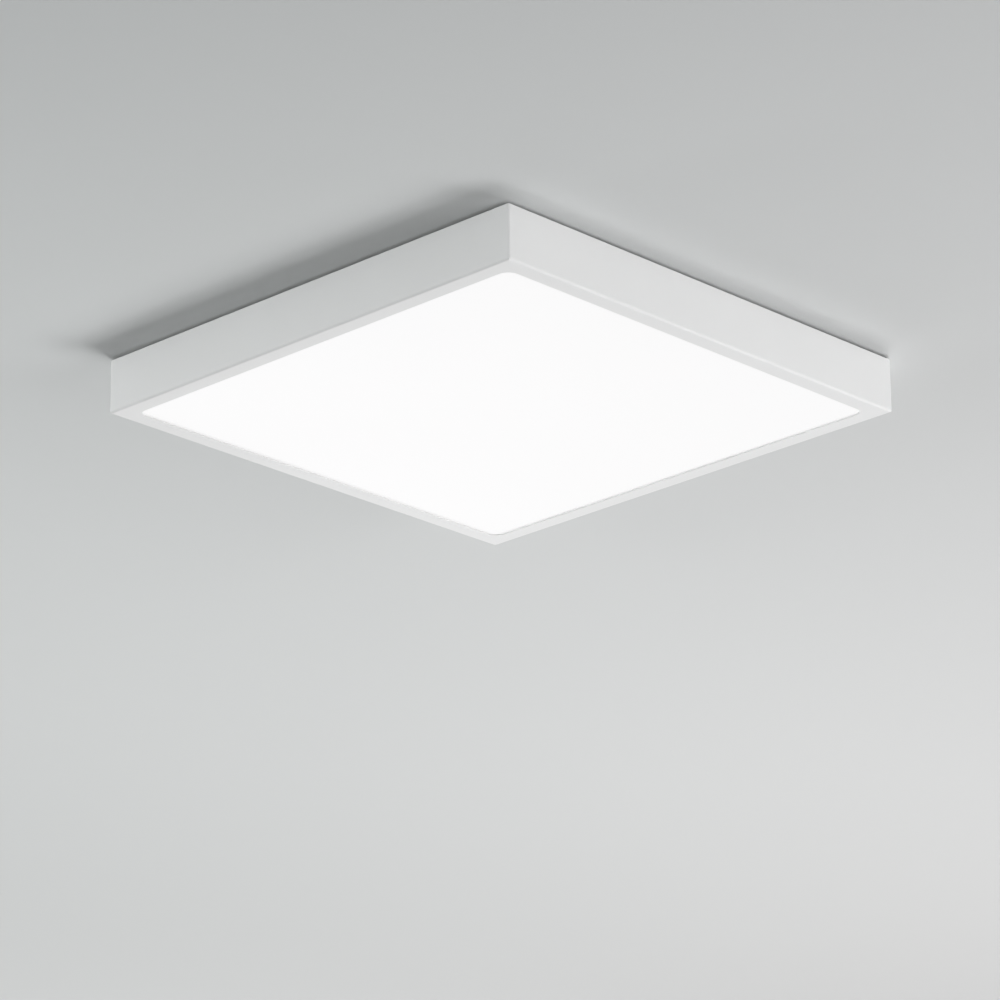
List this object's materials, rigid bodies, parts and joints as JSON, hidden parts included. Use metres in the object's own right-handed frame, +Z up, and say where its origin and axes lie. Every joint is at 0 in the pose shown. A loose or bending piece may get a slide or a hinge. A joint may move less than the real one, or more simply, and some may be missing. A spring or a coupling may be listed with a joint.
{
  "type": "flush mount ceiling light",
  "caption": "Square white ceiling light: thin steel cover frame with a flat opal diffuser, pushed onto a shallow ceiling tray that holds the driver and LED boards.",
  "frame": {"origin": "centre of the back face that lies on the ceiling, midway between the four screw slots", "axes": "+Z up into the ceiling, the light hangs below z = 0; X and Y along the sides, X along the screw slots"},
  "size_m": [0.4, 0.4, 0.0425],
  "materials": {
    "frame_paint": "fine satin white powder coat",
    "tray_paint": "white powder coat on pressed steel",
    "reflector_paint": "matt high-reflectance white",
    "opal_acrylic": "opal satin acrylic, lit from behind",
    "zinc_steel": "bright zinc plate",
    "spring_steel": "polished spring steel",
    "grey_rubber": "moulded rubber",
    "white_silicone": "soft silicone",
    "board_white": "white solder mask on aluminium core",
    "phosphor": "phosphor resin",
    "lens_clear": "clear moulded acrylic",
    "white_nylon": "moulded nylon",
    "white_pvc": "insulation",
    "brown_pvc": "insulation",
    "blue_pvc": "insulation",
    "green_pvc": "green and yellow striped insulation",
    "red_pvc": "insulation",
    "black_pvc": "insulation",
    "driver_plastic": "textured moulded plastic",
    "board_green": "green solder mask",
    "ferrite": "sintered ferrite",
    "coil_tape": "yellow winding tape",
    "capacitor_can": "sleeved can",
    "terminal_green": "moulded terminal",
    "terminal_grey": "moulded polyamide",
    "brass": "stamped brass",
    "tinned_brass": "tinned",
    "button_orange": "moulded polyamide"
  },
  "bodies": {
    "ceiling_unit": {"back_tray": "tray_paint", "cable_grommet": "grey_rubber", "tray_studs": "zinc_steel", "stud_nuts": "zinc_steel", "tray_spacers": "zinc_steel", "led_tray_screws": "zinc_steel", "spring_clips": "spring_steel", "clip_rivets": "zinc_steel", "led_tray": "reflector_paint", "lead_grommet": "white_silicone", "led_boards": "board_white", "led_chips": "phosphor", "led_lenses": "lens_clear", "board_rivets": "white_nylon", "board_connectors": "white_nylon", "jumper_leads": "white_pvc", "driver_case": "driver_plastic", "driver_lid": "driver_plastic", "driver_lid_screws": "zinc_steel", "driver_board": "board_green", "transformer_core": "ferrite", "transformer_coil": "coil_tape", "driver_capacitors": "capacitor_can", "driver_input_terminal": "terminal_green", "driver_output_terminal": "terminal_green", "terminal_block": "terminal_grey", "terminal_base": "terminal_grey", "terminal_contacts": "brass", "live_lead": "brown_pvc", "neutral_lead": "blue_pvc", "earth_lead": "green_pvc", "earth_lug": "tinned_brass", "earth_washer": "zinc_steel", "led_lead_positive": "red_pvc", "led_lead_negative": "black_pvc"},
    "cover": {"cover_frame": "frame_paint", "diffuser": "opal_acrylic", "diffuser_gasket": "white_silicone", "retainer_strips": "zinc_steel", "cover_studs": "zinc_steel", "retainer_nuts": "zinc_steel"},
    "live_release": {"live_button": "button_orange"},
    "neutral_release": {"neutral_button": "button_orange"},
    "earth_release": {"earth_button": "button_orange"}
  },
  "joints": [
    {"name": "cover_pull", "type": "slide", "parent": "ceiling_unit", "child": "cover", "axis": [0, 0, -1], "range_m": [0, 0.06]},
    {"name": "live_press", "type": "slide", "parent": "ceiling_unit", "child": "live_release", "axis": [0, 0, 1], "range_m": [0, 0.0012], "stiffness_N_per_m": 1500},
    {"name": "neutral_press", "type": "slide", "parent": "ceiling_unit", "child": "neutral_release", "axis": [0, 0, 1], "range_m": [0, 0.0012], "stiffness_N_per_m": 1500},
    {"name": "earth_press", "type": "slide", "parent": "ceiling_unit", "child": "earth_release", "axis": [0, 0, 1], "range_m": [0, 0.0012], "stiffness_N_per_m": 1500}
  ]
}
